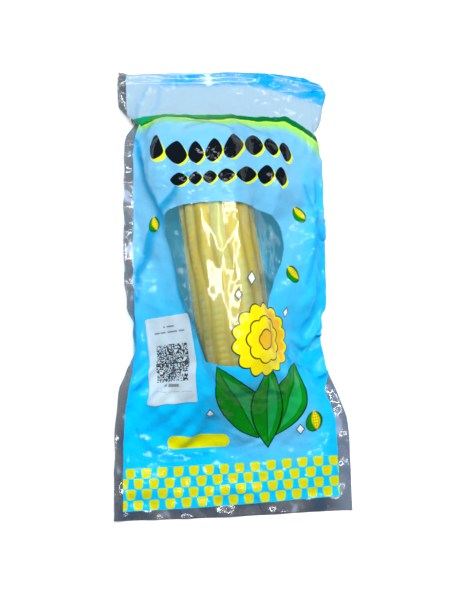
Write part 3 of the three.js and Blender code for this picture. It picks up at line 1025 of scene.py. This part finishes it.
def cob_material():
    shade = Shade("sweet_corn")
    crown, tint, along = shade.value("crown"), shade.value("tint"), shade.value("along")
    mottle = shade.speckle(160.0, 3.0)
    # Kernel flesh with a random row tint and mottle. The pale crown colour is a painted highlight.
    flesh = shade.layers(
        srgb(222, 198, 38),
        (srgb(204, 204, 120), tint.ramp(0.1, 0.9)),
        (srgb(212, 216, 146), crown.ramp(0.75, 1.0) * 0.35),
        (srgb(206, 180, 26), mottle.ramp(0.5, 0.75) * 0.3),
    )
    # Darker down in the grooves between the kernels: painted shade.
    colour = shade.mix(srgb(192, 168, 30), flesh, crown.ramp(0.0, 0.4))
    colour = shade.mix(srgb(184, 174, 66), colour, along.ramp(-70, 0) * 0.5 + 0.5)
    normal = shade.bump(shade.speckle(900.0, 2.0), 0.0002)
    body = set_inputs(shade.body, Base_Color=colour, Normal=normal, Roughness=0.38)
    set_inputs(body, Coat_Weight=0.2, Coat_Roughness=0.2)
    set_inputs(body, Subsurface_Weight=0.15, Subsurface_Radius=(1.0, 0.6, 0.2), Subsurface_Scale=0.002)
    return shade.material


def make_cob(shift):
    """The cob, with its rows of kernels as one surface."""
    rng = np.random.default_rng(21)
    columns = KERNEL_ROWS * KERNEL_STEPS
    half = COB_LENGTH / 2
    theta = np.arange(columns) / columns * 2 * math.pi
    tip = half - COB_END * TIP_SLIMMER
    share = np.linspace(0, 1, COB_RINGS)
    t = (tip + half) * (0.75 * share + 0.25 * (0.5 - 0.5 * np.cos(share * math.pi))) - tip
    theta, t = np.meshgrid(theta, t)
    sway = 0.05 * np.sin(t / 21) + 0.03 * np.sin(t / 9 + 1)
    row = (theta / (2 * math.pi) * KERNEL_ROWS).astype(int)
    a = (theta / (2 * math.pi) * KERNEL_ROWS - row) * 2 - 1
    start = rng.uniform(0, 1, KERNEL_ROWS)[row]
    waver = 0.35 * np.sin(t / (13 + 3 * start) + 6 * start)
    step = (t + half) / KERNEL_PITCH + start + waver
    kernel = step.astype(int)
    b = (step - kernel) * 2 - 1
    chance = rng.uniform(0, 1, (KERNEL_ROWS, int(step.max()) + 2))[row, kernel]
    apart = 0.16 + 0.2 * smooth(-t, -10, 60)
    crown = (0.5 + 0.5 * np.cos(math.pi * a)) ** 0.7 * (1 - apart + apart * (1 - np.abs(b) ** 2.2) ** 0.6)
    crown = crown * (0.85 + 0.15 * chance)
    row_tint = rng.uniform(0, 1, KERNEL_ROWS)[row] * 0.7 + 0.3 * np.sin(t / 17 + 5 * start)
    slim = 1 - TIP_SLIMMER * smooth(-t, TIP_FROM, half)
    past = np.maximum(np.abs(t) - (half - COB_END), 0) / (COB_END * slim)
    round_end = np.sqrt(np.maximum(1 - past**2, 0))
    radius = (COB_RADIUS * slim - KERNEL_HEIGHT * (1 - crown)) * round_end
    x, y = turned(radius * np.cos(theta + sway), t, -COB_LEAN)
    height = COB_RADIUS + COB_GAP + radius * np.sin(theta + sway)
    points = np.stack([COB_X + x, COB_Y + y, height], -1) + shift
    grid = np.arange(t.size).reshape(t.shape)
    beside = np.roll(grid, -1, 1)
    faces = np.stack([grid[1:], beside[1:], beside[:-1], grid[:-1]], -1).reshape(-1, 4)
    piece = new_piece("corn_cob", points, faces, [cob_material()])
    put_values(piece.data, "crown", crown)
    put_values(piece.data, "tint", row_tint + 0.25 * chance)
    put_values(piece.data, "along", t)
    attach(piece, "root")


LABEL_U, LABEL_V, LABEL_TURN = 33.2, 102.0, math.radians(9)
LABEL_WIDE, LABEL_LONG, LABEL_CORNER, LABEL_CELL = 34.5, 56.0, 1.6, 0.5
LABEL_LIFT, LABEL_THICK = 0.25, 0.12
CODE_AT, CODE_HALF, CODE_CELL = (17.2, 26.2), 12.0, 0.66
LABEL_BARS = (
    (16.6, 49.5, 4.2, 0.5),
    (17.0, 46.0, 11.5, 0.5),
    (17.4, 11.6, 5.6, 0.9),
    (17.2, 7.6, 14.0, 0.1),
)


def label_material():
    """White paper with grey bars and a random code, in place of lettering."""
    shade = Shade("label_paper")
    x, y = shade.place("Print")
    fibre = shade.noise(x * 0.8, y * 0.8, 4.0)
    colour = shade.mix(srgb(166, 188, 202), srgb(180, 200, 212), fibre)
    at_x, at_y = x - CODE_AT[0], y - CODE_AT[1]
    cell_x = (at_x * (1 / CODE_CELL)).of("FLOOR")
    cell_y = (at_y * (1 / CODE_CELL)).of("FLOOR")
    dark = shade.random(cell_x, cell_y).ramp(0.44, 0.46)
    block = rounded_block(at_x, at_y, CODE_HALF, CODE_HALF, 0.1)
    cross = (at_x.size() - 0.35).least(at_y.size() - 0.35)
    colour = shade.mix(colour, srgb(34, 38, 44), dark * block.within(0.1))
    colour = shade.mix(colour, srgb(30, 34, 40), cross.most(block).within(0.1))
    broken = shade.noise(x * 0.45, 0.0, 0.0).ramp(0.36, 0.42)
    for across, along, half, thick in LABEL_BARS:
        bar = rounded_block(x - across, y - along, half, thick, 0.1)
        colour = shade.mix(colour, srgb(96, 104, 112), bar.within(0.25) * broken)
    normal = shade.bump(fibre, 0.0001)
    set_inputs(shade.body, Base_Color=colour, Normal=normal, Roughness=0.42)
    return shade.material


def make_label(front):
    """The paper label, laid along the front film."""
    columns = int(LABEL_WIDE / LABEL_CELL) + 1
    rows = int(LABEL_LONG / LABEL_CELL) + 1
    half_x, half_y = LABEL_WIDE / 2, LABEL_LONG / 2
    x, y = np.linspace(-half_x, half_x, columns), np.linspace(-half_y, half_y, rows)
    x, y = np.meshgrid(x, y)
    into_x = np.maximum(np.abs(y) - (half_y - LABEL_CORNER), 0)
    cut = LABEL_CORNER - np.sqrt(np.maximum(LABEL_CORNER**2 - into_x**2, 0))
    x = x * (half_x - cut) / half_x
    u, v = turned(x, y, -LABEL_TURN)
    place = ((LABEL_U + u) / FINE, (LABEL_V + v) / FINE)
    on_film = on_grid(front, *place)
    facing = on_grid(grid_normals(front), *place)
    top = on_film + facing * (LABEL_LIFT + LABEL_THICK)
    under = on_film + facing * LABEL_LIFT
    faces, _ = closed_faces(rows, columns)
    piece = new_piece("paper_label", np.stack([top, under]), faces, [label_material()])
    put_map(piece.data, "Print", (x + half_x) * MM, (y + half_y) * MM)
    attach(piece, "root")
    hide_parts("label")


# The studio

FLOOR_HALF = 1500.0


def look_from(thing, target):
    back = thing.location - Vector(target)
    thing.rotation_mode = "QUATERNION"
    thing.rotation_quaternion = back.to_track_quat("Z", "Y")


def area_light(name, place, wide, tall, brightness, glossy=True, target=(0, 0, 0)):
    """A soft box of a given brightness, where a white floor lit well is about 1."""
    light = bpy.data.lights.new(name, "AREA")
    light.shape = "RECTANGLE"
    light.size, light.size_y = wide, tall
    light.energy = brightness * math.pi * wide * tall
    thing = put_in_scene(name, light)
    thing.visible_glossy = glossy
    thing.location = place
    look_from(thing, target)


def make_studio():
    scene = bpy.context.scene
    scene.view_settings.view_transform = "Standard"
    world = bpy.data.worlds.new("studio")
    world.use_nodes = True
    set_inputs(world.node_tree.nodes["Background"], Color=(0.94, 0.97, 1.0, 1.0), Strength=0.16)
    scene.world = world
    area_light("top_box", (0, 0.15, 1.1), 1.2, 1.2, 0.85, glossy=False)
    area_light("left_box", (-0.75, 0.25, 0.65), 0.5, 0.7, 1.1, glossy=False)
    area_light("right_box", (0.75, 0.10, 0.70), 0.5, 0.7, 1.1, glossy=False)
    area_light("window", (-0.12, 0.24, 0.90), 0.10, 0.34, 6.0)
    area_light("left_strip", (-0.34, 0.10, 0.70), 0.045, 0.9, 27.0, target=(0, 0.03, 0))
    area_light("right_strip", (0.30, 0.22, 0.70), 0.045, 0.8, 27.0, target=(0, 0.03, 0))
    area_light("back_strip", (0.05, 0.50, 0.72), 0.9, 0.045, 24.0, target=(0, 0.03, 0))
    paint = Shade("pale_floor")
    grey = paint.mix(srgb(244, 245, 246), srgb(250, 250, 250), paint.speckle(40.0, 3.0))
    set_inputs(paint.body, Base_Color=grey, Roughness=0.9)
    corners = np.array([(-1, -1, 0), (1, -1, 0), (1, 1, 0), (-1, 1, 0)]) * FLOOR_HALF
    new_piece("floor", corners, np.array([(0, 1, 2, 3)]), [paint.material])


def make_camera():
    camera = bpy.data.cameras.new("camera")
    camera.lens = SENSOR * FOCAL_PIXELS / PICTURE_TALL
    camera.sensor_width = SENSOR
    thing = put_in_scene("camera", camera)
    up = math.radians(CAMERA_ELEVATION)
    back = Vector((0, -math.cos(up), math.sin(up)))
    thing.location = Vector(CAMERA_TARGET) + back * CAMERA_DISTANCE
    look_from(thing, CAMERA_TARGET)
    roll = Quaternion((0, 0, 1), math.radians(CAMERA_ROLL))
    thing.rotation_quaternion = thing.rotation_quaternion @ roll
    bpy.context.scene.camera = thing


make_camera()
film_front, film_shift = make_pouch()
make_cob(film_shift)
make_label(film_front)
make_studio()
